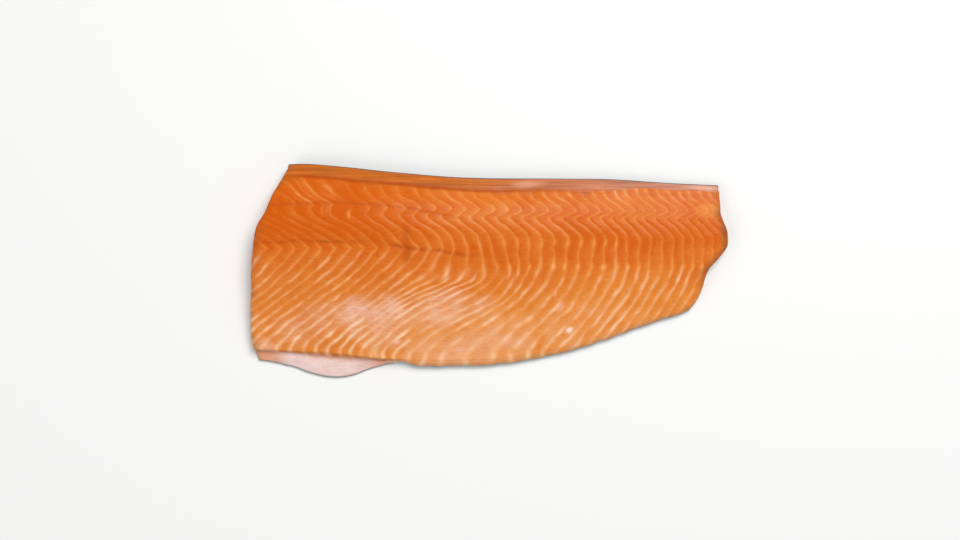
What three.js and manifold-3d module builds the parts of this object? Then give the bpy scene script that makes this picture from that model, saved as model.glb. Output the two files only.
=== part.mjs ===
// A raw side of salmon, lying on its skin: head end at -X, tail end at +X, back at +Y, belly at -Y, flesh
// up. Millimetres, +Z up, origin under the middle of the fillet on the surface it lies on.
//
// The fillet is one solid. A long body is laid out along the fish's muscle flakes: each column of its grid
// is a septum, the thin sheet of fat between two flakes, and each row runs from head to tail. The two knife
// cuts, behind the gills and before the tail, then trim that body to the fillet's length.
import * as THREE from "three";
import { mergeVertices } from "three/addons/utils/BufferGeometryUtils.js";
import Module from "manifold-3d";

// ---- driving dimensions ----
const HEAD_X = -187.5; // the furthest point of the head cut
const TAIL_X = 187.5; // the furthest point of the tail cut
const MIDLINE_Y = 18; // the lateral line, where the septa point to the tail
const BACK_STRIP = 9; // the width of the pale strip of fat along the back
const CUT_HEIGHT = 60; // the blade's reach, well above and below the flesh

// The outline seen from above, as [x, y] knots of the back's edge and of the belly's edge, and the step in
// the flesh above the belly's edge. At the head end a thin flap of fat and membrane reaches out below that
// step.
const BACK_EDGE = [[-200, 74], [-165, 82], [-145, 83.5], [-118, 81.6], [-74, 77], [-18, 72.8], [57, 72.2],
  [95, 71.8], [140, 69], [180, 67.2], [215, 66]];
const BELLY_EDGE = [[-200, -66], [-181, -69.5], [-155, -74.5], [-138, -80.5], [-122, -83.5], [-109, -82],
  [-94, -76.8], [-83, -74], [-72, -71.6], [-65, -71.8], [-58, -73.8], [-44, -74.8], [7, -73], [32, -69.3],
  [62, -63], [102, -50], [120, -43], [140, -36.6], [156, -31], [172, -26], [215, -20]];
const BELLY_STEP = [[-200, -60.5], [-148, -62.5], [-124, -64], [-101, -66.5], [-82, -68.6], [-60, -69.5],
  [-44, -70], [7, -68.3], [32, -64.6], [62, -58.3], [102, -45.3], [120, -38.3], [140, -32], [172, -21.5],
  [215, -16]];

// The knife cuts at the two ends, from the back to the belly and a little past both edges.
const HEAD_CUT = [[-156, 96], [-158, 82.5], [-163, 72], [-171, 58], [-176, 46], [-182.6, 35], [-186, 15],
  [-187.2, -14], [HEAD_X, -40], [-185.8, -57.5], [-181, -70], [-172, -92]];
const TAIL_CUT = [[179, 90], [179.6, 68], [180.8, 56], [182, 45], [186, 34], [TAIL_X, 25], [185.6, 17],
  [180, 10], [173.5, 2.5], [169.5, -6], [167, -15], [163, -23], [155, -33], [142, -50]];
const CUT_LEAN = 0.13; // the cuts lean outwards towards the skin, by this much for each millimetre of height

// Across the fillet, a place is counted in bands: 0 is the back's edge, 1 the groove beside the strip of
// fat, 2 the lateral line, 3 the step above the belly and 4 the belly's edge. ROWS lists how each band is
// divided.
const ROWS = [
  [0, 0.4, 0.75],
  Array.from({ length: 11 }, (_, i) => i / 11),
  Array.from({ length: 15 }, (_, i) => i / 15),
  [0, 0.16, 0.5, 1],
];

// The fillet's thickness where it is highest, along its length, and its section as a share of that, at each
// place across. The section is that of the head end up to TAIL_STARTS and turns into the rounder tail's by
// TAIL_FULL.
const CREST = [[-200, 24.5], [-150, 27.5], [-90, 28.5], [-20, 26.5], [50, 22.5], [110, 18], [160, 14.5],
  [200, 12]];
const HEAD_SECTION = [[0, 0.5], [0.6, 0.66], [1, 0.73], [1.3, 0.93], [1.62, 1], [1.91, 0.965], [2.06, 0.94],
  [2.3, 0.83], [2.6, 0.63], [2.9, 0.43], [3, 0.38], [3.5, 0.33], [4, 0.22]];
const TAIL_SECTION = [[0, 0.48], [0.5, 0.64], [1, 0.76], [1.39, 0.95], [1.78, 1], [2, 0.975], [2.19, 0.97],
  [2.53, 0.86], [2.85, 0.68], [3, 0.6], [3.5, 0.53], [4, 0.36]];
const TAIL_STARTS = 10;
const TAIL_FULL = 170;

// The groove beside the strip of fat, and the flap's height from the foot of its step out to the edge.
const GROOVE_DEPTH = 1;
const FLAP_ENDS = -66;
const FLAP_FADE = 16;
const FLAP_PROFILE = [[3, 10], [3.16, 4.4], [3.5, 3.9], [4, 2.4]];

// A shallow knife mark across the loin.
const MARK_X = -64.5;
const MARK_FROM_Y = 42;
const MARK_TO_Y = -4;
const MARK_DEPTH = 0.7;
const MARK_WIDTH = 5;

// The flakes. SEPTA_COUNTED is the number of septa that cross the lateral line up to x, counted from x = 0:
// they are 10.6 mm apart at the head end, 9.6 mm in the middle and 7.6 mm at the tail.
const SEPTA_COUNTED = [[-400, -38.6], [-60, -6.55], [0, -0.27], [100, 10.15], [150, 15.95], [190, 21],
  [240, 27.6]];
const FLAKE_RELIEF = [[0, -0.42], [0.24, 0.3], [0.62, 0.1]]; // [share of a flake, height] of its columns
// From where it crosses the lateral line at x, a septum runs back towards the head on both sides: this far at
// each distance above and below the line, as [distance, shift] knots. Above it turns to and fro once more.
const SEPTA_ABOVE = [
  { x: -125, shift: [[0, 0], [10, -13], [30, -51], [34, -47], [50, -72], [66, -86]] },
  { x: -46, shift: [[0, 0], [12, -8], [25, -25], [31, -20], [40, -34], [50, -40], [66, -48]] },
  { x: 40, shift: [[0, 0], [8.6, 0], [15.6, -6], [23.4, -14.5], [29, -4.5], [39.5, -17.5], [47, -20],
    [66, -22]] },
  { x: 149, shift: [[0, 0], [8.6, 0], [15.6, -6], [23.4, -13], [29, -4], [39.5, -16.5], [47, -19],
    [66, -21]] },
];
const SEPTA_BELOW = [
  { x: -125, shift: [[0, 0], [16, -14.2], [32, -33.5], [48, -56.5], [64, -78], [78, -91], [92, -89]] },
  { x: -46, shift: [[0, 0], [16, -12.7], [32, -32], [48, -55], [64, -76.5], [78, -90], [92, -86]] },
  { x: 0, shift: [[0, 0], [16, -8], [32, -25.5], [48, -49.5], [64, -71.5], [80, -90], [92, -87]] },
  { x: 40, shift: [[0, 0], [8, -0.5], [16, -2], [32, -10.7], [48, -27.9], [64, -52.7], [80, -75],
    [92, -80]] },
  { x: 70, shift: [[0, 0], [8, 0], [16, -0.9], [32, -7.4], [48, -19.1], [64, -35.9], [80, -52]] },
  { x: 149, shift: [[0, 0], [8, 0], [16, -0.7], [32, -6.8], [48, -15.9], [64, -26.3], [80, -36.6]] },
];

// How far the body runs past the cuts: its first and last septa, and its plain ends beyond them.
const FIRST_SEPTUM_X = -196;
const LAST_SEPTUM_X = 208;
const BODY_FROM_X = -360;
const BODY_TO_X = 240;
const HALVINGS = 40;
const TRIES = 40;

// The skin side under each edge, as [inset from the edge, height as a share of the edge's height] down to
// the foot.
const BACK_SIDE = [[0.9, 0.62], [3.4, 0.28], [7.5, 0.07], [13, 0]];
const BELLY_SIDE = [[0.8, 0.45], [4, 0.1], [9, 0]];

// ---- curves ----

// A smooth curve through [x, y] knots: cubic pieces whose slope at a knot is that of the chord across it.
// Past its ends the curve stays level.
function through(knots) {
  const slopes = knots.map((_, i) => {
    const before = knots[Math.max(i - 1, 0)];
    const after = knots[Math.min(i + 1, knots.length - 1)];
    return (after[1] - before[1]) / (after[0] - before[0]);
  });
  return (at) => {
    const x = THREE.MathUtils.clamp(at, knots[0][0], knots[knots.length - 1][0]);
    let i = 0;
    while (i < knots.length - 2 && x > knots[i + 1][0]) i += 1;
    const span = knots[i + 1][0] - knots[i][0];
    const u = (x - knots[i][0]) / span;
    const rise = u * u * (3 - 2 * u);
    return knots[i][1] * (1 - rise) + knots[i + 1][1] * rise
      + span * u * (1 - u) * (slopes[i] * (1 - u) - slopes[i + 1] * u);
  };
}

const { lerp, smoothstep } = THREE.MathUtils;
const backEdge = through(BACK_EDGE);
const bandLines = [
  backEdge,
  (x) => backEdge(x) - BACK_STRIP,
  () => MIDLINE_Y,
  through(BELLY_STEP),
  through(BELLY_EDGE),
];
const crest = through(CREST);
const headSection = through(HEAD_SECTION);
const tailSection = through(TAIL_SECTION);
const flapProfile = through(FLAP_PROFILE);
const septaCounted = through(SEPTA_COUNTED);
const withCurves = (places) => places.map(({ x, shift }) => ({ x, shift: through(shift) }));
const septaAbove = withCurves(SEPTA_ABOVE);
const septaBelow = withCurves(SEPTA_BELOW);

// The y of a place across the fillet, counted in bands, at x.
function yAcross(across, x) {
  const band = Math.min(Math.floor(across), 3);
  return lerp(bandLines[band](x), bandLines[band + 1](x), across - band);
}

// The shift of the septum that crosses the lateral line at x, at a distance below that line.
function septumShift(x, below) {
  const places = below < 0 ? septaAbove : septaBelow;
  return through(places.map((place) => [place.x, place.shift(Math.abs(below))]))(x);
}

// Where the septum of a count crosses the lateral line, found by halving.
function septumAt(count) {
  let low = BODY_FROM_X;
  let high = BODY_TO_X;
  for (let step = 0; step < HALVINGS; step += 1) {
    const middle = (low + high) / 2;
    if (septaCounted(middle) < count) low = middle;
    else high = middle;
  }
  return (low + high) / 2;
}

// Where a row crosses the septum that meets the lateral line at x: each try moves to where the last one
// pointed.
function crossing(septumX, across) {
  let x = septumX;
  for (let step = 0; step < TRIES; step += 1) {
    x = septumX + septumShift(septumX, MIDLINE_Y - yAcross(across, x));
  }
  return x;
}

// ---- heights ----

// A narrow dip: 1 at the middle, 0 at its reach on both sides.
function dip(distance, reach) {
  return 1 - smoothstep(Math.abs(distance), 0, reach);
}

// The height of the flesh at a place across, at x, with the groove, the flap and the knife mark, and with
// the flakes' relief where the flakes show.
function fleshHeight(across, x, relief) {
  const y = yAcross(across, x);
  const section = lerp(headSection(across), tailSection(across), smoothstep(x, TAIL_STARTS, TAIL_FULL));
  const flakesShow = smoothstep(across, 1, 1.12) * (1 - smoothstep(across, 2.88, 3));
  const groove = GROOVE_DEPTH * dip(across - 1, 0.25);
  const markEnds = smoothstep(MARK_FROM_Y - y, 0, 8) * smoothstep(y - MARK_TO_Y, 0, 8);
  const mark = MARK_DEPTH * dip(x - MARK_X, MARK_WIDTH / 2) * markEnds;
  const flesh = crest(x) * section + relief * flakesShow - groove - mark;
  if (across <= 3) return flesh;
  return lerp(flesh, flapProfile(across), smoothstep(FLAP_ENDS - x, 0, FLAP_FADE));
}

// ---- the body along the flakes ----

// The skin side's points under one edge: into is -1 at the back and 1 at the belly, the way into the
// fillet.
function skinSide(side, [x, y, height], into) {
  return side.map(([inset, share]) => [x, y + into * inset, height * share]);
}

// One closed section of the body: over the flesh from back to belly, down the belly's side, along the flat
// skin and up the back's side. xOf gives the x of each place across.
function sectionLoop(xOf, relief) {
  const over = ROWS.flatMap((rows, band) => rows.map((row) => {
    const across = band + row;
    const x = xOf(across);
    return [x, yAcross(across, x), fleshHeight(across, x, relief)];
  }));
  const down = skinSide(BELLY_SIDE, over[over.length - 1], 1);
  const up = skinSide(BACK_SIDE, over[0], -1).reverse();
  return [...over, ...down, ...up];
}

// The closed body: the loops side by side, with a fan over each end.
function flakeBody() {
  const loops = [sectionLoop(() => BODY_FROM_X, 0)];
  const first = Math.ceil(septaCounted(FIRST_SEPTUM_X));
  const last = Math.floor(septaCounted(LAST_SEPTUM_X));
  for (let flake = first; flake < last; flake += 1) {
    for (const [share, relief] of FLAKE_RELIEF) {
      const septumX = septumAt(flake + share);
      loops.push(sectionLoop((across) => crossing(septumX, across), relief));
    }
  }
  loops.push(sectionLoop(() => BODY_TO_X, 0));

  const around = loops[0].length;
  const points = loops.flat();
  const corners = [];
  for (let loop = 0; loop < loops.length - 1; loop += 1) {
    for (let i = 0; i < around; i += 1) {
      const next = (i + 1) % around;
      const here = loop * around;
      const there = here + around;
      corners.push(here + i, here + next, there + next, here + i, there + next, there + i);
    }
  }
  const hub = points.length;
  const lastLoop = (loops.length - 1) * around;
  points.push([BODY_FROM_X, 0, 3], [BODY_TO_X, 0, 3]);
  for (let i = 0; i < around; i += 1) {
    const next = (i + 1) % around;
    corners.push(hub, next, i, hub + 1, lastLoop + i, lastLoop + next);
  }
  return new THREE.BufferGeometry()
    .setAttribute("position", new THREE.BufferAttribute(new Float32Array(points.flat()), 3))
    .setIndex(corners);
}

// ---- the knife cuts ----

// The block between the two cuts, leaning outwards towards the skin.
function betweenCuts() {
  const outline = new THREE.Shape();
  const head = new THREE.SplineCurve(HEAD_CUT.map(([x, y]) => new THREE.Vector2(x, y)));
  const tail = new THREE.SplineCurve(TAIL_CUT.map(([x, y]) => new THREE.Vector2(x, y)).reverse());
  outline.setFromPoints([...head.getPoints(44), ...tail.getPoints(48)]);
  const block = new THREE.ExtrudeGeometry(outline, { depth: CUT_HEIGHT, bevelEnabled: false, steps: 1 });
  block.translate(0, 0, -CUT_HEIGHT / 4);
  const corner = block.getAttribute("position");
  for (let i = 0; i < corner.count; i += 1) {
    const x = corner.getX(i);
    corner.setX(i, x - Math.sign(x) * CUT_LEAN * corner.getZ(i));
  }
  return block;
}

// ---- putting it together ----

const wasm = await Module();
wasm.setup();

function toSolid(geometry) {
  geometry.deleteAttribute("normal");
  geometry.deleteAttribute("uv");
  const merged = mergeVertices(geometry, 1e-4);
  return new wasm.Manifold(new wasm.Mesh({
    numProp: 3,
    vertProperties: merged.getAttribute("position").array,
    triVerts: new Uint32Array(merged.index.array),
  }));
}

function toGeometry(solid) {
  const mesh = solid.getMesh();
  const geometry = new THREE.BufferGeometry()
    .setAttribute("position", new THREE.BufferAttribute(mesh.vertProperties, 3))
    .setIndex(new THREE.BufferAttribute(mesh.triVerts, 1));
  geometry.computeVertexNormals();
  return geometry;
}

const flesh = new THREE.MeshStandardMaterial({ color: 0xe07b31, roughness: 0.38, metalness: 0 });
const fillet = new THREE.Mesh(toGeometry(toSolid(flakeBody()).intersect(toSolid(betweenCuts()))), flesh);
fillet.name = "fillet";

const salmonFillet = new THREE.Group();
salmonFillet.add(fillet);

export default salmonFillet;
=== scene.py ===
"""A raw side of salmon, lying on its skin with the flesh up: head end at -X, tail end at +X, back at +Y."""

import bpy
import numpy as np
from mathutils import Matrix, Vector


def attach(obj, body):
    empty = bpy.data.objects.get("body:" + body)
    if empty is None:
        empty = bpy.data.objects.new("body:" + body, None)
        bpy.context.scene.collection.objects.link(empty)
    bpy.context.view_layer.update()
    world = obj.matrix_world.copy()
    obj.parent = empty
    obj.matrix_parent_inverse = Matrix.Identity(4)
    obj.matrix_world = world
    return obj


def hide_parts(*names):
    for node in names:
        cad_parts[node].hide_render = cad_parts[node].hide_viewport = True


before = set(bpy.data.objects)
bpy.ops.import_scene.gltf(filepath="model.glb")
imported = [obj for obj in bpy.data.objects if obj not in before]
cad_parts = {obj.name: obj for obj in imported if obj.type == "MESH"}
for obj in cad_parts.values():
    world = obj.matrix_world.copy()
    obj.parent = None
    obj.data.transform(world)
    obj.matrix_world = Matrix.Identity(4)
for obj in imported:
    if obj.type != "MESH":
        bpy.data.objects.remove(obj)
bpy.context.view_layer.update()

# ---- The flesh ---------------------------------------------------------------------------------------
# One flank of the fish, cut off the backbone with a long knife and trimmed behind the gills and before the
# tail. It is raw muscle stacked in flakes, with a septum, a thin sheet of fat, between each two; the knife
# has cut across them all, so the septa show as light lines.

# Lengths are in millimetres until a mesh is made.
MM = 0.001

# The outline from above as [x, y] knots, and the step in the flesh above the belly's edge.
BACK_EDGE = [[-200, 74], [-165, 82], [-145, 83.5], [-118, 81.6], [-74, 77], [-18, 72.8], [57, 72.2],
             [95, 71.8], [140, 69], [180, 67.2], [215, 66]]
BELLY_EDGE = [[-200, -66], [-181, -69.5], [-155, -74.5], [-138, -80.5], [-122, -83.5], [-109, -82],
              [-94, -76.8], [-83, -74], [-72, -71.6], [-65, -71.8], [-58, -73.8], [-44, -74.8], [7, -73],
              [32, -69.3], [62, -63], [102, -50], [120, -43], [140, -36.6], [156, -31], [172, -26],
              [215, -20]]
BELLY_STEP = [[-200, -60.5], [-148, -62.5], [-124, -64], [-101, -66.5], [-82, -68.6], [-60, -69.5],
              [-44, -70], [7, -68.3], [32, -64.6], [62, -58.3], [102, -45.3], [120, -38.3], [140, -32],
              [172, -21.5], [215, -16]]
# The two knife cuts as [y, x] knots. They lean outwards towards the skin.
HEAD_CUT = [[-92, -172], [-70, -181], [-57.5, -185.8], [-40, -187.5], [-14, -187.2], [15, -186],
            [35, -182.6], [46, -176], [58, -171], [72, -163], [82.5, -158], [96, -156]]
TAIL_CUT = [[-50, 142], [-33, 155], [-23, 163], [-15, 167], [-6, 169.5], [2.5, 173.5], [10, 180],
            [17, 185.6], [25, 187.5], [34, 186], [45, 182], [56, 180.8], [68, 179.6], [90, 179]]
CUT_LEAN = 0.13

# Across the fillet, a place is counted in bands: 0 is the back's edge, 1 the groove beside the strip of
# fat, 2 the lateral line, 3 the step above the belly and 4 the belly's edge.
LATERAL_LINE_Y = 18
BACK_STRIP = 9

# The thickness at the highest point, and the section as a share of it at each place across.
CREST = [[-200, 24.5], [-150, 27.5], [-90, 28.5], [-20, 26.5], [50, 22.5], [110, 18], [160, 14.5], [200, 12]]
HEAD_SECTION = [[0, 0.5], [0.6, 0.66], [1, 0.73], [1.3, 0.93], [1.62, 1], [1.91, 0.965], [2.06, 0.94],
                [2.3, 0.83], [2.6, 0.63], [2.9, 0.43], [3, 0.38], [3.5, 0.33], [4, 0.22]]
TAIL_SECTION = [[0, 0.48], [0.5, 0.64], [1, 0.76], [1.39, 0.95], [1.78, 1], [2, 0.975], [2.19, 0.97],
                [2.53, 0.86], [2.85, 0.68], [3, 0.6], [3.5, 0.53], [4, 0.36]]
FLAP_PROFILE = [[3, 10], [3.16, 4.4], [3.5, 3.9], [4, 2.4]]
FLAP_ENDS_X = -66
# The sides below each edge, as [inset, share of the height] rows from the edge down to the foot.
BACK_SIDE = [[0, 1], [0.5, 0.82], [0.9, 0.62], [1.9, 0.44], [3.4, 0.28], [7.5, 0.07], [13, 0]]
BELLY_SIDE = [[0, 1], [0.4, 0.72], [0.8, 0.45], [1.9, 0.26], [4, 0.1], [6, 0.03], [9, 0]]
SKIN_THICKNESS = 0.9


def smooth_curve(places, values, at):
    """A smooth curve through the value at each place: cubic pieces whose slope at a place is that of the
    chord across it, level past both ends. The values may have a column of their own for each point."""
    last = len(places) - 1
    values = values.reshape(last + 1, -1)
    column = np.arange(len(at)) if values.shape[1] > 1 else 0
    before = np.maximum(np.arange(last + 1) - 1, 0)
    after = np.minimum(np.arange(last + 1) + 1, last)
    slope = (values[after] - values[before]) / (places[after] - places[before])[:, None]
    x = np.clip(at, places[0], places[-1])
    i = np.clip(np.searchsorted(places, x) - 1, 0, last - 1)
    span = places[i + 1] - places[i]
    u = (x - places[i]) / span
    rise = u * u * (3 - 2 * u)
    bend = span * u * (1 - u) * (slope[i, column] * (1 - u) - slope[i + 1, column] * u)
    return values[i, column] * (1 - rise) + values[i + 1, column] * rise + bend


def through(knots, at):
    """The smooth curve through [x, y] knots."""
    places, values = np.array(knots, float).T
    return smooth_curve(places, values, at)


def ramp(start, end, at):
    """Rises smoothly from 0 at start to 1 at end: three times the square of the share of the way, less
    twice its cube."""
    u = np.clip((at - start) / (end - start), 0, 1)
    return u * u * (3 - 2 * u)


def ridge(at, reach):
    """1 where at is 0, falling smoothly to 0 at the reach on both sides: one less a ramp of its size."""
    return 1 - ramp(0, reach, np.abs(at))


def mottle(x, y, size, seed):
    """Smooth random waves from -1 to 1 with swells of the given size: the corners of a square lattice get
    random values, and the points between them a smooth mix of the four around them."""
    cells = 64
    lattice = np.random.default_rng(seed).uniform(-1, 1, (cells, cells))
    u, v = x / size + 31.7, y / size + 17.3
    i, j = np.floor(u).astype(int), np.floor(v).astype(int)
    a, b = ramp(0, 1, u - i), ramp(0, 1, v - j)
    next_i, next_j = (i + 1) % cells, (j + 1) % cells
    i, j = i % cells, j % cells
    near = lattice[i, j] * (1 - b) + lattice[i, next_j] * b
    far = lattice[next_i, j] * (1 - b) + lattice[next_i, next_j] * b
    return near * (1 - a) + far * a


def band_y(across, x):
    """The y of a place across the fillet, counted in bands, at x: as far between the two lines beside it as
    the place is through its band."""
    back = through(BACK_EDGE, x)
    edge = through(BELLY_EDGE, x) + 0.5 * mottle(x, 0 * x, 7, 3)
    lines = np.stack([back, back - BACK_STRIP, np.full_like(x, LATERAL_LINE_Y), through(BELLY_STEP, x), edge])
    band = np.minimum(across.astype(int), 3)
    point = np.arange(len(x))
    return lines[band, point] + (lines[band + 1, point] - lines[band, point]) * (across - band)


# The septa. SEPTA_COUNTED is the number that cross the lateral line up to x, counted from x = 0. From
# there a septum runs back towards the head on both sides, with a second fold about 30 mm above the line.
# Below the line in the middle it first leans a little towards the tail. Its way is given as [distance from
# the line, shift] knots, for septa at a few places along the fish.
SEPTA_COUNTED = [[-400, -38.6], [-60, -6.55], [0, -0.27], [100, 10.15], [150, 15.95], [190, 21], [240, 27.6]]
SEPTA_ABOVE = {
    -125: [[0, 0], [10, -13], [30, -51], [34, -47], [50, -72], [66, -86]],
    -46: [[0, 0], [12, -8], [25, -25], [31, -20], [40, -34], [50, -40], [66, -48]],
    40: [[0, 0], [8.6, 0], [15.6, -6], [23.4, -14.5], [29, -4.5], [39.5, -17.5], [47, -20], [66, -22]],
    149: [[0, 0], [8.6, 0], [15.6, -6], [23.4, -13], [29, -4], [39.5, -16.5], [47, -19], [66, -21]],
}
SEPTA_BELOW = {
    -125: [[0, 0], [16, -14.2], [32, -33.5], [48, -56.5], [64, -78], [78, -91], [92, -89]],
    -46: [[0, 0], [16, -12.7], [32, -32], [48, -55], [64, -76.5], [78, -90], [92, -86]],
    0: [[0, 0], [6, 1], [17, 4], [24, 2], [32, -10], [48, -44], [64, -71.5], [80, -90], [92, -87]],
    40: [[0, 0], [8, -0.5], [16, -2], [32, -10.7], [48, -27.9], [64, -52.7], [80, -75], [92, -80]],
    70: [[0, 0], [8, 0], [16, -0.9], [32, -7.4], [48, -19.1], [64, -35.9], [80, -52]],
    149: [[0, 0], [8, 0], [16, -0.7], [32, -6.8], [48, -15.9], [64, -26.3], [80, -36.6]],
}
# In the middle of the fish two more septa start under the lateral line. They fade in over FORK_STARTS, as
# distances below it, and fade out towards the head over FORK_ENDS, under the torn membrane. The septa there
# run as these knots say, and the extra ones are spread over EXTRA_SPREAD along the line.
EXTRA_SEPTA = 2
EXTRA_SPREAD = (-46, 40)
FORK_STARTS = (17, 27)
FORK_ENDS = (-104, -76)
SEPTA_FORKED = {
    -125: SEPTA_BELOW[-125],
    -46: SEPTA_BELOW[-46],
    -8: [[0, 0], [24, -8], [31, -22], [36, -33], [40, -42], [48, -56], [64, -78], [80, -94], [92, -92]],
    20: [[0, 0], [24, -5], [32, -10], [40, -18.5], [46, -30], [52, -43], [64, -64], [80, -85], [92, -88]],
    40: SEPTA_BELOW[40],
    70: SEPTA_BELOW[70],
    149: SEPTA_BELOW[149],
}
# Where a septum crosses the line is worked out in rounds that each take away this share of the error.
SEPTUM_ROUNDS = 60
SEPTUM_STEP = 0.45


def flake_count(x, y, septa_below, extra=0):
    """How many septa lie between x = 0 and each point, counted along the fish. The septum through a point
    crosses the lateral line at q, where q + shift(q) = x; q starts at x and moves by part of the error
    until it holds. The shift at q is a smooth curve through those at all the places along the fish, each
    taken at the point's own distance from the line. The extra septa raise the count smoothly along it."""
    sides = []
    for septa, distance in ((SEPTA_ABOVE, y - LATERAL_LINE_Y), (septa_below, LATERAL_LINE_Y - y)):
        shifts = [through(knots, np.maximum(distance, 0)) for knots in septa.values()]
        sides.append((np.array(list(septa), float), np.stack(shifts)))
    above, below = sides
    q = x.copy()
    for _ in range(SEPTUM_ROUNDS):
        shift = np.where(y > LATERAL_LINE_Y, smooth_curve(*above, q), smooth_curve(*below, q))
        q += SEPTUM_STEP * (x - q - shift)
    return through(SEPTA_COUNTED, q) + extra * ramp(*EXTRA_SPREAD, q)


def septum_nearness(count):
    """0 on a septum and 0.5 halfway between two: how far the count is from a whole number."""
    return np.abs(count - np.round(count))


def section_height(across, x):
    """The flesh's height without its flakes: the crest times a section that turns from the head's to the
    tail's, with the flap's own profile beyond the step at the head end."""
    head, tail = through(HEAD_SECTION, across), through(TAIL_SECTION, across)
    flesh = through(CREST, x) * (head + (tail - head) * ramp(10, 170, x))
    flap = np.where(across > 3, ramp(0, 16, FLAP_ENDS_X - x), 0)
    return flesh + (through(FLAP_PROFILE, across) - flesh) * flap


def grid_quads(points, turned=False):
    """One quad between each four neighbours of a grid of point numbers, turned over where asked."""
    quads = np.stack([points[:-1, :-1], points[1:, :-1], points[1:, 1:], points[:-1, 1:]], -1)
    return quads.reshape(-1, 4)[:, ::-1 if turned else 1]


def block_surface(along, across, down):
    """The outside of a block of cells as one closed mesh: the lattice points of its six faces, each once,
    with outward quads. The underside is left as strips across with one wide face at each end."""
    i, j, k = np.meshgrid(np.arange(along + 1), np.arange(across + 1), np.arange(down + 1), indexing="ij")
    outside = (i == 0) | (i == along) | (j == 0) | (j == across) | (k == 0)
    number = np.full(outside.shape, -1)
    number[outside] = np.arange(outside.sum())
    sheets = [(number[:, :, 0], True), (number[0], True), (number[-1], False),
              (number[:, 0], False), (number[:, -1], True), (number[1:-1, ::across, -1], False)]
    quads = np.concatenate([grid_quads(points, turned) for points, turned in sheets])
    ends = [[*number[0, ::-1, -1], *number[1, [0, -1], -1]], [*number[-1, :, -1], *number[-2, [-1, 0], -1]]]
    return i[outside], j[outside], k[outside], quads.tolist() + ends


# The length that the points are spread over at first, and how often their places are worked out in turn.
LENGTH = 360
PLACE_ROUNDS = 12


def cut_ends(y, z):
    """The x of the head's and of the tail's knife cut at y and z: the curve through its knots, its lean
    times the height, and small waves."""
    head = through(HEAD_CUT, y) + CUT_LEAN * z + 0.35 * mottle(y, z, 5, 11)
    tail = through(TAIL_CUT, y) - CUT_LEAN * z + 0.6 * mottle(y, z, 6, 12)
    return head, tail


def flesh_points(along, across, side, depth):
    """Where the points of the block lie in the fillet, inset by depth from the skin's outer face. Each
    point's x is a share of the way between the two cuts at its own y and z, its y a share of the way
    between the two sides, and its z a share of the height there: all three are worked out in turn until
    they agree."""
    back_inset, back_share = np.array([[inset + depth, share] for inset, share in BACK_SIDE])[side].T
    belly_inset, belly_share = np.array([[inset + depth, share] for inset, share in BELLY_SIDE])[side].T
    x = (along * 2 - 1) * LENGTH / 2
    y, z = np.zeros_like(x), np.zeros_like(x)
    for _ in range(PLACE_ROUNDS):
        head, tail = cut_ends(y, z)
        x = head + (tail - head) * along
        back, belly = band_y(np.zeros_like(x), x), band_y(np.full_like(x, 4), x)
        share = (back - band_y(across, x)) / (back - belly)
        y = back - back_inset + (belly + belly_inset - back + back_inset) * share
        height = section_height(across, x)
        z = depth + (height - depth) * (back_share + (belly_share - back_share) * share)
    return x, y, z, height


# Columns along the fish, closer together at the two cuts, and rows across, as many as each band needs.
END_MARGIN = np.array([0, 0.35, 0.8, 1.4, 2.1])
MIDDLE_STARTS = 3
MIDDLE_COLUMNS = 392
ROWS_IN_BAND = (12, 66, 88, 16)
middle = np.linspace(MIDDLE_STARTS, LENGTH - MIDDLE_STARTS, MIDDLE_COLUMNS)
columns = np.concatenate([END_MARGIN, middle, LENGTH - END_MARGIN[::-1]]) / LENGTH
rows = np.concatenate([np.linspace(band, band + 1, count)[:-1] for band, count in enumerate(ROWS_IN_BAND)])
rows = np.append(rows, len(ROWS_IN_BAND))
i, j, k, faces = block_surface(len(columns) - 1, len(rows) - 1, len(BACK_SIDE) - 1)
across = rows[j]
x, y, z, height = flesh_points(columns[i], across, k, SKIN_THICKNESS / 2)
# The septa waver, and they lean: this far down into the flesh the count is one higher.
DEPTH_OF_FLAKE = 9
unevenness = 0.13 * mottle(x, y, 15, 1) + 0.07 * mottle(x, y, 5, 2) + (height - z) / DEPTH_OF_FLAKE
flake = flake_count(x, y, SEPTA_BELOW) + unevenness
flake_forked = flake_count(x, y, SEPTA_FORKED, EXTRA_SEPTA) + unevenness

# What the knife and the trimming left, each 0 where it isn't and up to about 1 where it is: the flap and
# its white middle, the strip of back fat and the groove beside it, the seam near the lateral line, a fainter
# one above it, and the knife mark across the loin. fork is the share that the forked septa have of a point.
SEAM = [[-190, 21], [-160, 22.5], [-93, 22.5], [-59, 17.4], [-36, 15.1], [-7, 11.2], [60, 14]]
UPPER_SEAM = [[-190, 50], [-120, 52.5], [-70, 49.5], [-31, 42.5], [10, 34]]
KNIFE_MARK_X = -64
below_line = LATERAL_LINE_Y - y
fork = ramp(*FORK_STARTS, below_line + 3 * mottle(x, y, 12, 71)) * ramp(*FORK_ENDS, x)


def within(start, end, soft, at):
    """1 between start and end, falling smoothly to 0 over the soft length outside both: one ramp up times
    one ramp down."""
    return ramp(start - soft, start, at) * (1 - ramp(end, end + soft, at))


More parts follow.
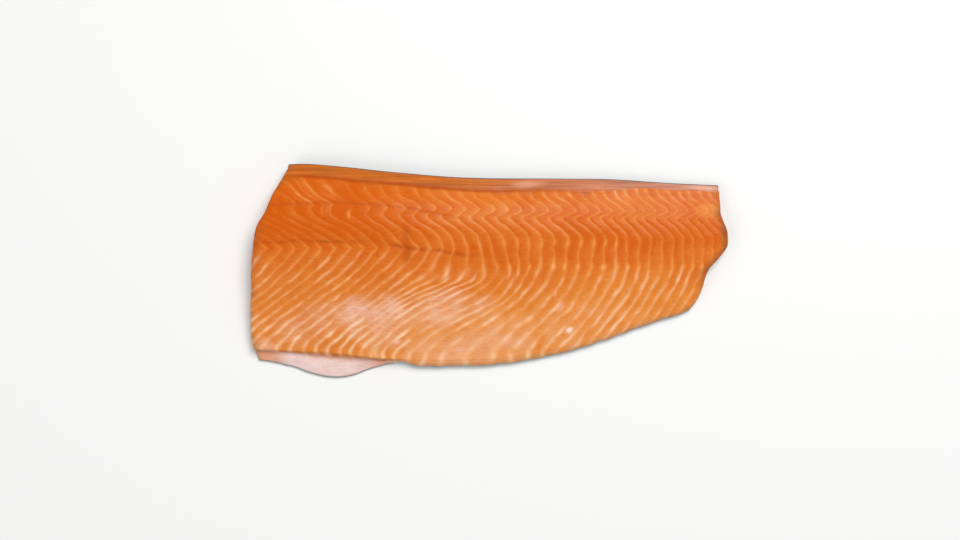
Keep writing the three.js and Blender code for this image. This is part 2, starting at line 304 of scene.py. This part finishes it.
flap = ramp(0.09, 0.19, across - 3 + 0.04 * mottle(x, y, 6, 21)) * ramp(0, 14, FLAP_ENDS_X - x)
flap_white = (ramp(3.05, 3.4, across + 0.15 * mottle(x, y, 7, 28)) * ramp(-174, -154, x)
              * (1 - 0.7 * ramp(-106, -84, x)))
strip = 1 - ramp(0.85, 1.1, across / (1 - 0.45 * ramp(80, 130, x)) + 0.1 * mottle(x, y, 9, 22))
groove_y = through(BACK_EDGE, x) - BACK_STRIP - 0.6 + 0.7 * mottle(x, 0 * x, 14, 23)
groove = ridge(y - groove_y, 2.6) * ramp(-168, -138, x) * (1 - 0.75 * ramp(-10, 90, x))
seam = (ridge(y - through(SEAM, x) - 0.8 * mottle(x, 0 * x, 11, 24), 2.6) * (1 - ramp(-30, 15, x))
        * (0.6 + 0.55 * mottle(x, 0 * x, 8, 27)) * (0.35 + 0.65 * ramp(0.05, 0.3, septum_nearness(flake))))
upper_seam = (0.45 * ridge(y - through(UPPER_SEAM, x) - 0.4 * mottle(x, 0 * x, 13, 25), 1.7)
              * (1 - ramp(-40, 12, x)))
knife_mark = ridge(x - KNIFE_MARK_X - 1.2 * mottle(y, 0 * y, 9, 26), 5.5) * within(11, 29, 10, y)


def patch(centre, size, tilt, edge_seed):
    """A soft patch: 1 inside an ellipse, falling smoothly to 0 around it. The ellipse has the given
    half-lengths and is turned by tilt degrees, and waves make its edge uneven."""
    turn = np.radians(tilt)
    u = ((x - centre[0]) * np.cos(turn) + (y - centre[1]) * np.sin(turn)) / size[0]
    v = ((y - centre[1]) * np.cos(turn) - (x - centre[0]) * np.sin(turn)) / size[1]
    return 1 - ramp(0.2, 1.2, np.hypot(u, v) + 0.3 * mottle(x, y, 11, edge_seed))


membrane = np.maximum.reduce([
    0.95 * patch((-96, -31), (40, 14), 4, 31),
    0.7 * patch((-84, -43), (30, 18), 0, 35),
    0.6 * patch((-38, -28), (40, 16), 4, 32),
    0.4 * patch((-14, -58), (56, 13), 8, 33),
    0.35 * patch((-140, -42), (42, 15), 22, 34),
    0.8 * patch((-177, -62), (10, 14), 0, 36),
    0.45 * patch((-73, -36), (30, 6), 90, 39),
]) * (0.8 + 0.35 * mottle(x, y, 9, 37) + 0.15 * mottle(x, y, 4, 38))
# Bright spots as (place, half-lengths, tilt, strength): spots of fat, painted highlights at (55, -28) and
# (166, 65.4), and at (62, -45.8) a fleck of fat with a painted highlight on it.
FAT_AND_HIGHLIGHT_SPOTS = [
    ((62, -45.8), (4.5, 3.2), 30, 1.0),
    ((51, -17), (5, 1.5), 80, 0.4),
    ((-72, -55), (4.5, 3), 20, 0.5),
    ((-21, -61), (10, 2.2), 5, 0.35),
    ((14, -54), (6, 3), 35, 0.3),
    ((29, 67.4), (17, 3.6), 2, 0.3),
    ((166, 65.4), (18, 2.2), -3, 0.42),
    ((55, -28), (5, 3), 60, 0.3),
]
fat_and_highlight_spot = np.maximum.reduce([strength * patch(place, size, tilt, 40 + n)
                              for n, (place, size, tilt, strength) in enumerate(FAT_AND_HIGHLIGHT_SPOTS)])

# How pale the muscle is and how strong its fat lines are, as [distance below the lateral line, value]
# profiles at the head end, in the middle and at the tail end.
PALENESS = [
    [[-62, 0.06], [-10, 0.02], [-4, 0.05], [2, 0.12], [22, 0.3], [58, 0.5], [80, 0.55]],
    [[-62, 0.22], [-45, 0.24], [-33, 0.22], [-22, 0.18], [-8, 0.18], [0, 0.14], [8, 0.16], [30, 0.42],
     [56, 0.66], [80, 0.7]],
    [[-62, 0.22], [-45, 0.2], [-32, 0.18], [-22, 0.1], [-8, 0.08], [0, 0.15], [8, 0.22], [16, 0.3],
     [33, 0.5], [60, 0.6]],
]
FATNESS = [
    [[-62, 0.14], [-40, 0.08], [-34, 0.04], [-10, 0.05], [-2, 0.22], [5, 0.46], [20, 0.52], [60, 0.72]],
    [[-62, 0.24], [-45, 0.34], [-22, 0.38], [0, 0.34], [10, 0.38], [20, 0.54], [45, 0.64], [80, 0.66]],
    [[-62, 0.4], [-45, 0.5], [-30, 0.4], [-18, 0.28], [-4, 0.26], [10, 0.42], [20, 0.56], [60, 0.6]],
]


def along_fish(profiles):
    """The value of the head's, the middle's and the tail's profile, mixed smoothly by x."""
    head, middle, tail = [through(profile, below_line) for profile in profiles]
    value = head + (middle - head) * ramp(-115, -25, x)
    return value + (tail - value) * ramp(20, 110, x)


fat_mottle = (1 + 0.3 * mottle(x, y, 12, 51) + 0.3 * mottle(x, y, 5, 52)) * (1 - 0.8 * strip)
fatness = (along_fish(FATNESS) + 0.25 * within(-150, -122, 6, x) * within(54, 66, 4, y)
           - 0.15 * ramp(135, 175, x) * (below_line < 0)) * fat_mottle
# Beside the lateral line the septa thicken into rows of dashes, which stay as orange as the rest. Each row
# is (strength, start, end and soft length along the fish, distance below the line, reach).
DASH_ROWS = [
    (0.34, 12, 98, 14, -3.4, 5),
    (0.34, 16, 175, 20, 14.5, 5),
    (0.15, 60, 120, 12, -24.5, 4),
]
dashes = sum(strength * within(start, end, soft, x) * ridge(below_line - row, reach)
             for strength, start, end, soft, row, reach in DASH_ROWS) * fat_mottle
fat_white = ramp(0.2, 1.1, fatness) - 0.12 * ramp(0, 0.12, dashes)
fatness = np.clip(fatness + dashes, 0.02, 1.1)
# The flesh is painted a little paler from the belly's step to its edge, where past_step is 1: painted light
# that lifts the shade on that steep slope.
past_step = np.where(across > 3, across - 3, 0) * (1 - flap)
paleness = (along_fish(PALENESS) + 0.08 * mottle(x, y, 30, 53) + 0.06 * mottle(x, y, 9, 54)
            + 0.45 * patch((-108, 43), (5, 2.5), 90, 55) + 0.3 * patch((168, 47), (12, 6), 0, 56)
            + 0.1 * past_step)
fine_fat = 0.3 * patch((-139, 60), (24, 11), -25, 59)

# The relief on the flesh: flakes swell a little between their septa, and the knife and the fingers that
# trimmed it leave dents. It fades out down the sides.
on_top = ramp(0.3, 0.9, z / height)
flakes_show = (ramp(1, 1.12, across) * (1 - ramp(2.88, 3, across))
               * (1 - 0.6 * membrane) * (0.5 + 0.5 * fatness))


def swell_of(count):
    """A flake's own height: a swell between its septa, less a furrow on them and a slope towards the
    tail."""
    nearness = septum_nearness(count)
    slope = count - np.floor(count) - 0.5
    return 0.3 * ramp(0.02, 0.32, nearness) - 0.3 * ridge(nearness, 0.1) - 0.25 * slope


swell = swell_of(flake) * (1 - fork) + swell_of(flake_forked) * fork
# The flesh is rounded over at the two cuts, as a quarter circle.
CUT_ROUNDING = 1.3
from_end = np.minimum(columns[i], 1 - columns[i]) * LENGTH
to_round = 1 - np.clip(from_end / CUT_ROUNDING, 0, 1)
rounding = CUT_ROUNDING * (1 - np.sqrt(np.clip(1 - to_round ** 2, 0, 1)))
# The rims of the two cuts are darker, most in the tail's middle: partly flesh that has dried, partly painted
# shade.
dried_and_shaded_rim = ((1 - ramp(0, 8, from_end + 2 * mottle(x, y, 7, 66)))
         * (0.35 + 0.4 * ramp(0, 100, x) * within(0, 42, 10, y)) * (0.85 + 0.4 * mottle(y, z, 5, 67)))
relief = (swell * flakes_show - groove - 0.45 * seam - 0.3 * upper_seam - 0.25 * knife_mark + 0.4 * fat_and_highlight_spot
          + 0.4 * mottle(x, y, 40, 61) + 0.25 * mottle(x, y, 15, 62) + 0.1 * mottle(x, y, 5, 63)
          + flap * (0.5 * mottle(x, y, 8, 64) + 0.25 * mottle(x, y, 3, 65)))
# At the two long edges the flesh keeps level with the skin.
relief = relief * ramp(-0.1, 0.3, across) * (1 - 0.9 * ramp(3.7, 4, across)) - rounding
z = z + relief * on_top


def mesh_piece(name, points, faces, attributes):
    """A mesh object from points in millimetres, faces as point numbers, and one number a point for each
    named attribute."""
    mesh = bpy.data.meshes.new(name)
    mesh.from_pydata((points * MM).tolist(), [], faces)
    mesh.polygons.foreach_set("use_smooth", np.ones(len(mesh.polygons), bool))
    for title, values in attributes.items():
        layer = mesh.attributes.new(title, "FLOAT", "POINT")
        layer.data.foreach_set("value", np.asarray(values, np.float32))
    mesh.update()
    piece = bpy.data.objects.new(name, mesh)
    bpy.context.scene.collection.objects.link(piece)
    return piece


flesh_attributes = {
    "flake": flake, "flake_forked": flake_forked, "fork": fork,
    "fatness": fatness, "fat_white": np.clip(fat_white, 0, 1), "fine_fat": fine_fat,
    "paleness": paleness, "membrane": membrane, "flap": flap, "flap_white": flap_white, "strip": strip,
    "cut": np.clip(groove + 0.9 * seam + upper_seam + 0.55 * knife_mark, 0, 1),
    "fat_and_highlight_spot": fat_and_highlight_spot, "towards_tail": ramp(-60, 190, x), "dried_and_shaded_rim": dried_and_shaded_rim,
}
flesh = mesh_piece("salmon_flesh", np.stack([x, y, z], -1), faces, flesh_attributes)


def linear(hex_colour):
    """A linear RGBA colour from an sRGB hex one: each channel as a share of 255, divided by 12.92 when
    dark, and otherwise raised to the power 2.4 after a small shift."""
    s = np.array([int(hex_colour[n:n + 2], 16) for n in (1, 3, 5)]) / 255
    return (*np.where(s > 0.04045, ((s + 0.055) / 1.055) ** 2.4, s / 12.92), 1.0)


def add(tree, kind, settings=None, links=None):
    """Adds one node: settings are its own properties or the values of its inputs, and links say which
    output, as (node, output), feeds each input."""
    made = tree.nodes.new(kind)
    for key, value in (settings or {}).items():
        if isinstance(key, str) and hasattr(made, key):
            setattr(made, key, value)
        else:
            made.inputs[key].default_value = value
    for key, (source, output) in (links or {}).items():
        tree.links.new(source.outputs[output], made.inputs[key])
    return made


def new_material(name):
    """A material with an empty node tree and its output node."""
    material = bpy.data.materials.new(name)
    material.use_nodes = True
    material.node_tree.nodes.clear()
    return material, material.node_tree, add(material.node_tree, "ShaderNodeOutputMaterial")


# Raw salmon muscle, freshly cut: wet, so a clear film over it glints, and cloudy, so light goes a few
# millimetres into it. The orange comes from the fish's feed, the light lines are fat.
raw_flesh, tree, output = new_material("raw_salmon_flesh_cut")
place = add(tree, "ShaderNodeTexCoord")
read = {title: add(tree, "ShaderNodeAttribute", {"attribute_name": title}) for title in flesh_attributes}

# Muscle fibres run along the fish inside each flake. They are too fine to show, so they are drawn as
# bundles, 5 mm long, 1.1 mm wide and 2 mm deep.
fibre_place = add(tree, "ShaderNodeMapping", {"Scale": (1 / 5 / MM, 1 / 1.1 / MM, 1 / 2 / MM)},
                  {"Vector": (place, "Object")})
fibres = add(tree, "ShaderNodeTexNoise", {"Scale": 1.0, "Detail": 3.0, "Roughness": 0.6},
             {"Vector": (fibre_place, 0)})
grain = add(tree, "ShaderNodeTexNoise", {"Scale": 1 / 1.6 / MM, "Detail": 4.0, "Roughness": 0.65},
            {"Vector": (place, "Object")})
cloud = add(tree, "ShaderNodeTexNoise", {"Scale": 1 / 11 / MM, "Detail": 3.0, "Roughness": 0.55},
            {"Vector": (place, "Object")})

# A fat line has a crisp core, as wide as the fat there, in a soft glow that fades halfway to the next.
# Finer lines lie between them in places. All are made for both counts of the septa and mixed at the fork.
half_width = add(tree, "ShaderNodeMath", {"operation": "MULTIPLY_ADD", 1: 0.12, 2: 0.03},
                 {0: (read["fatness"], "Fac")})
lines, fine_lines, places_in_flake = [], [], []
for count in ("flake", "flake_forked"):
    waver = add(tree, "ShaderNodeMath", {"operation": "MULTIPLY_ADD", 1: 0.1},
                {0: (grain, 0), 2: (read[count], "Fac")})
    near = add(tree, "ShaderNodeMath", {"operation": "PINGPONG", 1: 0.5}, {0: (waver, 0)})
    past_edge = add(tree, "ShaderNodeMath", {"operation": "SUBTRACT"}, {0: (near, 0), 1: (half_width, 0)})
    core = add(tree, "ShaderNodeMapRange",
               {"interpolation_type": "SMOOTHSTEP", "From Min": 0.13, "From Max": -0.09, "To Max": 0.62},
               {"Value": (past_edge, 0)})
    glow = add(tree, "ShaderNodeMapRange",
               {"interpolation_type": "SMOOTHSTEP", "From Min": 0.45, "From Max": 0.0, "To Max": 0.35},
               {"Value": (near, 0)})
    lines.append(add(tree, "ShaderNodeMath", {"operation": "ADD"}, {0: (core, 0), 1: (glow, 0)}))
    between = add(tree, "ShaderNodeMath", {"operation": "PINGPONG", 1: 0.25}, {0: (waver, 0)})
    fine_lines.append(add(tree, "ShaderNodeMapRange",
                          {"interpolation_type": "SMOOTHSTEP", "From Min": 0.1, "From Max": 0.0},
                          {"Value": (between, 0)}))
    places_in_flake.append(add(tree, "ShaderNodeMath", {"operation": "FRACT"}, {0: (waver, 0)}))
line, fine_line, behind = [
    add(tree, "ShaderNodeMix", {}, {0: (read["fork"], "Fac"), 2: (plain, 0), 3: (forked, 0)})
    for plain, forked in (lines, fine_lines, places_in_flake)]
fat_line = add(tree, "ShaderNodeMath", {"operation": "MULTIPLY"},
               {0: (line, 0), 1: (read["fatness"], "Fac")})
fine_patches = add(tree, "ShaderNodeMapRange", {"From Min": 0.52, "From Max": 0.75, "To Max": 0.2},
                   {"Value": (cloud, 0)})
fine_strength = add(tree, "ShaderNodeMath", {"operation": "ADD"},
                    {0: (fine_patches, 0), 1: (read["fine_fat"], "Fac")})
fine_cover = add(tree, "ShaderNodeMath", {"operation": "MULTIPLY"},
                 {0: (fine_line, 0), 1: (fine_strength, 0)})

# The muscle between the lines: deep orange to pale, streaked by its fibres, and with painted shade behind
# each septum, where the next flake starts under it.
# Painted shade: the muscle is darker just past each septum and lighter just before the next.
painted_shingle_shade = add(tree, "ShaderNodeMath", {"operation": "MULTIPLY_ADD", 1: 0.24},
               {0: (behind, 0), 2: (read["paleness"], "Fac")})
clouded = add(tree, "ShaderNodeMath", {"operation": "MULTIPLY_ADD", 1: 0.3},
              {0: (cloud, 0), 2: (painted_shingle_shade, 0)})
fibred = add(tree, "ShaderNodeMath", {"operation": "MULTIPLY_ADD", 1: 0.5},
             {0: (fibres, 0), 2: (clouded, 0)})
lighter = add(tree, "ShaderNodeMapRange", {"From Min": 0.55, "From Max": 1.15}, {"Value": (fibred, 0)})
deep_muscle = add(tree, "ShaderNodeMix", {"data_type": "RGBA", 6: linear("#d05c00"), 7: linear("#e38a37")},
                  {0: (lighter, 0)})
palest = add(tree, "ShaderNodeMapRange", {"From Min": 1.05, "From Max": 1.8}, {"Value": (fibred, 0)})
muscle = add(tree, "ShaderNodeMix", {"data_type": "RGBA", 7: linear("#eeb487")},
             {0: (palest, 0), 6: (deep_muscle, 2)})
fat_colour = add(tree, "ShaderNodeMix", {"data_type": "RGBA", 6: linear("#ef9843"), 7: linear("#fbcfa4")},
                 {0: (read["fat_white"], "Fac")})
lined = add(tree, "ShaderNodeMix", {"data_type": "RGBA"},
            {0: (fat_line, 0), 6: (muscle, 2), 7: (fat_colour, 2)})
fine_lined = add(tree, "ShaderNodeMix", {"data_type": "RGBA"},
                 {0: (fine_cover, 0), 6: (lined, 2), 7: (fat_colour, 2)})

# On the knife cuts the brown muscle under the skin shows: a layer that is thickest at the lateral line.
point_at = add(tree, "ShaderNodeSeparateXYZ", links={"Vector": (place, "Object")})
from_line = add(tree, "ShaderNodeMath", {"operation": "SUBTRACT", 1: LATERAL_LINE_Y * MM},
                {0: (point_at, "Y")})
line_distance = add(tree, "ShaderNodeMath", {"operation": "ABSOLUTE"}, {0: (from_line, 0)})
brown_top = add(tree, "ShaderNodeMapRange",
                {"interpolation_type": "SMOOTHSTEP", "From Max": 20 * MM,
                 "To Min": 6.5 * MM, "To Max": 2.2 * MM},
                {"Value": (line_distance, 0)})
above_brown = add(tree, "ShaderNodeMath", {"operation": "SUBTRACT"},
                  {0: (point_at, "Z"), 1: (brown_top, 0)})
brown = add(tree, "ShaderNodeMapRange",
            {"interpolation_type": "SMOOTHSTEP", "From Min": 1.2 * MM, "From Max": -0.8 * MM, "To Max": 0.8},
            {"Value": (above_brown, 0)})
browned = add(tree, "ShaderNodeMix", {"data_type": "RGBA", 7: linear("#8f5a3c")},
              {0: (brown, 0), 6: (fine_lined, 2)})

# Over the muscle: torn belly membrane, the strip of back fat, the knife's cuts, the white flap, the darker
# rims of the cuts, dried and with painted shade, and the spots of fat and painted highlights.
film = add(tree, "ShaderNodeMapRange",
           {"interpolation_type": "SMOOTHSTEP", "From Min": 0.3, "From Max": 0.7,
            "To Min": 0.4, "To Max": 0.8},
           {"Value": (fibres, 0)})
film_cover = add(tree, "ShaderNodeMath", {"operation": "MULTIPLY"},
                 {0: (film, 0), 1: (read["membrane"], "Fac")})
filmed = add(tree, "ShaderNodeMix", {"data_type": "RGBA", 7: linear("#f0c8b2")},
             {0: (film_cover, 0), 6: (browned, 2)})
strip_place = add(tree, "ShaderNodeMapping", {"Scale": (1 / 60 / MM, 1 / 1.8 / MM, 1 / 3 / MM)},
                  {"Vector": (place, "Object")})
streaks = add(tree, "ShaderNodeTexNoise", {"Scale": 1.0, "Detail": 2.0}, {"Vector": (strip_place, 0)})
strip_fat = add(tree, "ShaderNodeMix", {"data_type": "RGBA", 6: linear("#bf6722"), 7: linear("#ba8878")},
                {0: (read["towards_tail"], "Fac")})
strip_shade = add(tree, "ShaderNodeMapRange",
                  {"From Min": 0.3, "From Max": 0.7, "To Min": 0.72, "To Max": 1.28},
                  {"Value": (streaks, 0)})
strip_colour = add(tree, "ShaderNodeVectorMath", {"operation": "SCALE"},
                   {0: (strip_fat, 2), "Scale": (strip_shade, 0)})
strip_cover = add(tree, "ShaderNodeMath", {"operation": "MULTIPLY", 1: 0.85}, {0: (read["strip"], "Fac")})
stripped = add(tree, "ShaderNodeMix", {"data_type": "RGBA"},
               {0: (strip_cover, 0), 6: (filmed, 2), 7: (strip_colour, 0)})
cut_cover = add(tree, "ShaderNodeMath", {"operation": "MULTIPLY", 1: 0.75}, {0: (read["cut"], "Fac")})
cut_over = add(tree, "ShaderNodeMix", {"data_type": "RGBA", 7: linear("#ad4408")},
               {0: (cut_cover, 0), 6: (stripped, 2)})
flap_streaks = add(tree, "ShaderNodeMix", {0: 0.45}, {2: (cloud, 0), 3: (fibres, 0)})
flap_fat = add(tree, "ShaderNodeMix", {"data_type": "RGBA", 6: linear("#d5a59b"), 7: linear("#f8eae5")},
               {0: (flap_streaks, 0)})
flap_tint = add(tree, "ShaderNodeMix", {"data_type": "RGBA", 6: linear("#e2a27e")},
                {0: (read["flap_white"], "Fac"), 7: (flap_fat, 2)})
flapped = add(tree, "ShaderNodeMix", {"data_type": "RGBA"},
              {0: (read["flap"], "Fac"), 6: (cut_over, 2), 7: (flap_tint, 2)})
# The darker rims of the cuts: dried flesh, and painted shade.
dark_rim_over = add(tree, "ShaderNodeMix", {"data_type": "RGBA", 7: linear("#8f5228")},
                 {0: (read["dried_and_shaded_rim"], "Fac"), 6: (flapped, 2)})
# Spots of fat and painted highlights.
spot_colour = add(tree, "ShaderNodeMix", {"data_type": "RGBA", 6: linear("#f0a27e"), 7: linear("#f8dccb")},
                  {0: (read["fat_and_highlight_spot"], "Fac")})
spot_cover = add(tree, "ShaderNodeMath", {"operation": "MULTIPLY", "use_clamp": True, 1: 1.4},
                 {0: (read["fat_and_highlight_spot"], "Fac")})
surface = add(tree, "ShaderNodeMix", {"data_type": "RGBA"},
              {0: (spot_cover, 0), 6: (dark_rim_over, 2), 7: (spot_colour, 2)})

roughness = add(tree, "ShaderNodeMapRange", {"To Min": 0.34, "To Max": 0.58}, {"Value": (grain, 0)})
fine_height = add(tree, "ShaderNodeMath", {"operation": "MULTIPLY_ADD", 1: 0.5},
                  {0: (grain, 0), 2: (fibres, 0)})
fine_bump = add(tree, "ShaderNodeBump", {"Strength": 0.35, "Distance": 0.25 * MM},
                {"Height": (fine_height, 0)})
flesh_shader = add(tree, "ShaderNodeBsdfPrincipled",
                   {"IOR": 1.4, "Subsurface Weight": 0.25, "Subsurface Scale": 2.5 * MM,
                    "Subsurface Radius": (1.0, 0.35, 0.15), "Coat Weight": 0.15, "Coat Roughness": 0.22,
                    "Coat IOR": 1.33, "Specular IOR Level": 0.13},
                   {"Base Color": (surface, 2), "Roughness": (roughness, 0), "Normal": (fine_bump, 0)})
tree.links.new(flesh_shader.outputs[0], output.inputs["Surface"])
flesh.data.materials.append(raw_flesh)
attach(flesh, "root")
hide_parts("fillet")

# ---- The skin ----------------------------------------------------------------------------------------
# The fish's skin, still on: a tough hide under the whole flesh and up its two long sides, with small silver
# scales, dark on the back and white on the belly. The two knife cuts go through it too.

# How far the skin reaches past the flesh at the two cuts, and how far it stays below the long edges.
SKIN_PAST_CUT = 0.15
SKIN_BELOW_EDGE = 0.4
# Columns along the fish between the two cuts, rows down each side and rows across the underside.
SKIN_COLUMNS = 200
SIDE_ROWS = 13
UNDERSIDE_ROWS = 40
skin_columns = np.concatenate([[0], np.linspace(1, LENGTH - 1, SKIN_COLUMNS), [LENGTH]]) / LENGTH


def skin_sheet(depth):
    """The skin at a depth under its outer face, as a grid of points: columns from the head cut to the
    tail cut, and rows down the back's side, across the flat underside and up the belly's side. Each
    point's y and z are worked out in turn with its x, as in the flesh. Also gives each point's way across
    the underside, 0 at the back and 1 at the belly."""
    def side(profile, at):
        """The inset and the share of the height on a side, at a share of the way down it: smooth curves
        through its rows, which are spaced evenly."""
        steps = np.linspace(0, 1, len(profile))
        return [smooth_curve(steps, values, at) for values in np.array(profile, float).T]

    side_rows = np.linspace(0, 1, SIDE_ROWS)
    flat = np.linspace(0, 1, UNDERSIDE_ROWS + 2)[1:-1]
    way = np.concatenate([np.zeros(SIDE_ROWS), flat, np.ones(SIDE_ROWS)])
    down = np.concatenate([side_rows, np.ones(UNDERSIDE_ROWS), side_rows[::-1]])
    u, way = [grid.ravel() for grid in np.meshgrid(skin_columns, way, indexing="ij")]
    down = np.tile(down, len(skin_columns))
    back_inset, back_share = side(BACK_SIDE, down)
    belly_inset, belly_share = side(BELLY_SIDE, down)
    on_side = (way == 0) | (way == 1)
    x, y, z = (u * 2 - 1) * LENGTH / 2, np.zeros_like(u), np.zeros_like(u)
    for _ in range(PLACE_ROUNDS):
        head, tail = cut_ends(y, z)
        head, tail = head - SKIN_PAST_CUT, tail + SKIN_PAST_CUT
        x = head + (tail - head) * u
        back, belly = band_y(np.zeros_like(x), x), band_y(np.full_like(x, 4), x)
        y = (back - back_inset - depth) * (1 - way) + (belly + belly_inset + depth) * way
        edge = section_height(np.where(way < 0.5, 0.0, 4.0), x)
        share = np.where(way < 0.5, back_share, belly_share)
        z = depth + (edge - SKIN_BELOW_EDGE - depth) * share * on_side
    return x, y, z, way


def closed_shell(outer, inner, along, rows):
    """One closed mesh from two grids of points: both faces, the inner one turned, and the rim between
    them."""
    first = np.arange(along * rows).reshape(along, rows)
    second = first + along * rows
    rim = np.concatenate([first[0], first[1:, -1], first[-1, -2::-1], first[-2:0:-1, 0]])
    next_rim = np.roll(rim, -1)
    sides = np.stack([rim, next_rim, next_rim + along * rows, rim + along * rows], -1)
    faces = np.concatenate([grid_quads(first), grid_quads(second, turned=True), sides])
    return np.concatenate([outer, inner]), faces.tolist()


outer_x, outer_y, outer_z, way = skin_sheet(0)
inner_x, inner_y, inner_z, _ = skin_sheet(SKIN_THICKNESS)
shell_points, shell_faces = closed_shell(np.stack([outer_x, outer_y, outer_z], -1),
                                         np.stack([inner_x, inner_y, inner_z], -1),
                                         len(skin_columns), len(way) // len(skin_columns))
skin = mesh_piece("salmon_skin", shell_points, shell_faces, {"way": np.tile(way, 2)})

# Wet fish skin: silver scales of guanine crystals under a clear slime, blue-green black on the back with a
# few round spots, white under the belly. The scales lie in slanting rows and are 3.6 by 2.9 mm.
silver_skin, tree, output = new_material("salmon_skin_silver_scales")
place = add(tree, "ShaderNodeTexCoord")
way_in = add(tree, "ShaderNodeAttribute", {"attribute_name": "way"})
scale_place = add(tree, "ShaderNodeMapping",
                  {"Rotation": (0, 0, np.pi / 4), "Scale": (1 / 3.6 / MM, 1 / 2.9 / MM, 1 / 3.6 / MM)},
                  {"Vector": (place, "Object")})
scales = add(tree, "ShaderNodeTexVoronoi", {"Scale": 1.0, "Randomness": 0.25}, {"Vector": (scale_place, 0)})
cloud = add(tree, "ShaderNodeTexNoise", {"Scale": 1 / 14 / MM, "Detail": 4.0}, {"Vector": (place, "Object")})
uneven = add(tree, "ShaderNodeMath", {"operation": "MULTIPLY_ADD", 1: 0.12},
             {0: (cloud, 0), 2: (way_in, "Fac")})
to_side = add(tree, "ShaderNodeMapRange",
              {"interpolation_type": "SMOOTHSTEP", "From Min": 0.08, "From Max": 0.42},
              {"Value": (uneven, 0)})
to_belly = add(tree, "ShaderNodeMapRange",
               {"interpolation_type": "SMOOTHSTEP", "From Min": 0.4, "From Max": 1.0},
               {"Value": (uneven, 0)})
upper = add(tree, "ShaderNodeMix", {"data_type": "RGBA", 6: linear("#343d40"), 7: linear("#a3adb0")},
            {0: (to_side, 0)})
flank = add(tree, "ShaderNodeMix", {"data_type": "RGBA", 7: linear("#e4e3de")},
            {0: (to_belly, 0), 6: (upper, 2)})
shine = add(tree, "ShaderNodeMapRange",
            {"From Min": 0.1, "From Max": 0.7, "To Min": 1.0, "To Max": 0.62},
            {"Value": (scales, "Distance")})
shaded = add(tree, "ShaderNodeMix", {"data_type": "RGBA", "blend_type": "MULTIPLY", 0: 1.0},
             {6: (flank, 2), 7: (shine, 0)})
spots = add(tree, "ShaderNodeTexVoronoi", {"voronoi_dimensions": "2D", "Scale": 1 / 19 / MM},
            {"Vector": (place, "Object")})
spot_outline = add(tree, "ShaderNodeMath", {"operation": "MULTIPLY_ADD", 1: 0.22},
                   {0: (cloud, 0), 2: (spots, "Distance")})
spot_edge = add(tree, "ShaderNodeMapRange",
                {"interpolation_type": "SMOOTHSTEP", "From Min": 0.26, "From Max": 0.19},
                {"Value": (spot_outline, 0)})
spot_place = add(tree, "ShaderNodeMapRange", {"From Min": 0.42, "From Max": 0.3}, {"Value": (way_in, "Fac")})
spotted = add(tree, "ShaderNodeMath", {"operation": "MULTIPLY"}, {0: (spot_edge, 0), 1: (spot_place, 0)})
hide = add(tree, "ShaderNodeMix", {"data_type": "RGBA", 7: linear("#1c2221")},
           {0: (spotted, 0), 6: (shaded, 2)})
metal = add(tree, "ShaderNodeMapRange", {"To Min": 0.25, "To Max": 0.6}, {"Value": (way_in, "Fac")})
roughness = add(tree, "ShaderNodeMapRange", {"To Min": 0.25, "To Max": 0.5}, {"Value": (cloud, 0)})
scale_bump = add(tree, "ShaderNodeBump", {"Strength": 0.6, "Distance": 0.3 * MM, "invert": True},
                 {"Height": (scales, "Distance")})
hide_shader = add(tree, "ShaderNodeBsdfPrincipled",
                  {"IOR": 1.45, "Coat Weight": 0.4, "Coat Roughness": 0.12, "Coat IOR": 1.33},
                  {"Base Color": (hide, 2), "Metallic": (metal, 0), "Roughness": (roughness, 0),
                   "Normal": (scale_bump, 0)})
tree.links.new(hide_shader.outputs[0], output.inputs["Surface"])
skin.data.materials.append(silver_skin)
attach(skin, "root")
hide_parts("fillet")

# ---- The table, the light and the camera ---------------------------------------------------------------
# A plain white table, a large soft lamp above the tail and the back, a weak one opposite, and a camera
# that looks straight down.

# The table's and the lamps' lengths are in metres.
TABLE_HALF = 3.0
TABLE_TOP = -0.0003
table_mesh = bpy.data.meshes.new("table")
table_mesh.from_pydata([(along * TABLE_HALF, across * TABLE_HALF, TABLE_TOP)
                        for along, across in ((-1, -1), (1, -1), (1, 1), (-1, 1))], [], [(0, 1, 2, 3)])
table = bpy.data.objects.new("table", table_mesh)
bpy.context.scene.collection.objects.link(table)
white_top, tree, output = new_material("table_white_laminate")
table_shader = add(tree, "ShaderNodeBsdfPrincipled", {"Base Color": linear("#f1f1ef"), "Roughness": 0.6})
tree.links.new(table_shader.outputs[0], output.inputs["Surface"])
table_mesh.materials.append(white_top)


def lamp(name, place, target, size, power):
    """A square area lamp that faces its target."""
    light = bpy.data.lights.new(name, "AREA")
    light.size = size
    light.energy = power
    holder = bpy.data.objects.new(name, light)
    holder.location = place
    holder.rotation_euler = (Vector(target) - Vector(place)).to_track_quat("-Z", "Y").to_euler()
    bpy.context.scene.collection.objects.link(holder)


lamp("soft_lamp", (0.75, 1.1, 2.35), (0, 0, 0), 1.4, 58)
lamp("weak_lamp", (-1.5, -1.0, 1.8), (0, 0, 0), 1.6, 13)
world = bpy.data.worlds.new("room")
world.use_nodes = True
room_light = world.node_tree.nodes["Background"]
room_light.inputs["Color"].default_value = linear("#f4f6f8")
room_light.inputs["Strength"].default_value = 0.36
bpy.context.scene.world = world

# The camera stands where one pixel is MM_PER_PIXEL wide at the height of the fillet's edge.
LENS, SENSOR = 50, 36
IMAGE_WIDTH = 960
MM_PER_PIXEL = 0.7815
VIEW_CENTRE = (-7.4, 1.0)
EDGE_HEIGHT = 8
camera_height = IMAGE_WIDTH * MM_PER_PIXEL * LENS / SENSOR + EDGE_HEIGHT
camera = bpy.data.objects.new("camera", bpy.data.cameras.new("camera"))
camera.data.lens = LENS
camera.data.sensor_width = SENSOR
camera.location = (VIEW_CENTRE[0] * MM, VIEW_CENTRE[1] * MM, camera_height * MM)
bpy.context.scene.collection.objects.link(camera)
bpy.context.scene.camera = camera
bpy.context.scene.view_settings.view_transform = "Standard"
